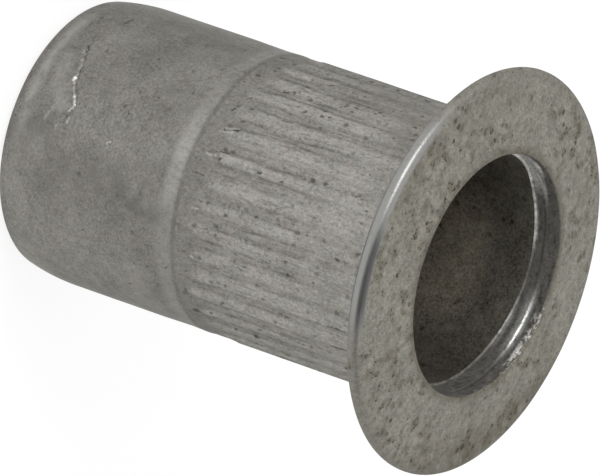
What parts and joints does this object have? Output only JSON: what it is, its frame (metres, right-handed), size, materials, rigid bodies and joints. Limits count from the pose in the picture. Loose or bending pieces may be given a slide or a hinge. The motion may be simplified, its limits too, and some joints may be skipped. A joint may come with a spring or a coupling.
{
  "type": "rivet nut",
  "caption": "Open-end blind rivet nut with a flat round flange, straight-knurled barrel, stepped bore and M6 thread, in dull aluminium.",
  "frame": {"origin": "centre of the barrel's open end face, on the axis, where the nut stands", "axes": "+Z along the thread axis from the barrel end to the flange; X and Y are free by symmetry, with a knurl ridge on +X and on +Y"},
  "size_m": [0.013, 0.013, 0.0156],
  "materials": {
    "nut_metal": "dull as-formed aluminium with grey dirt specks, burnished on the flange rim and just inside the mouth"
  },
  "bodies": {
    "root": {"rivet_nut": "nut_metal"}
  },
  "joints": []
}
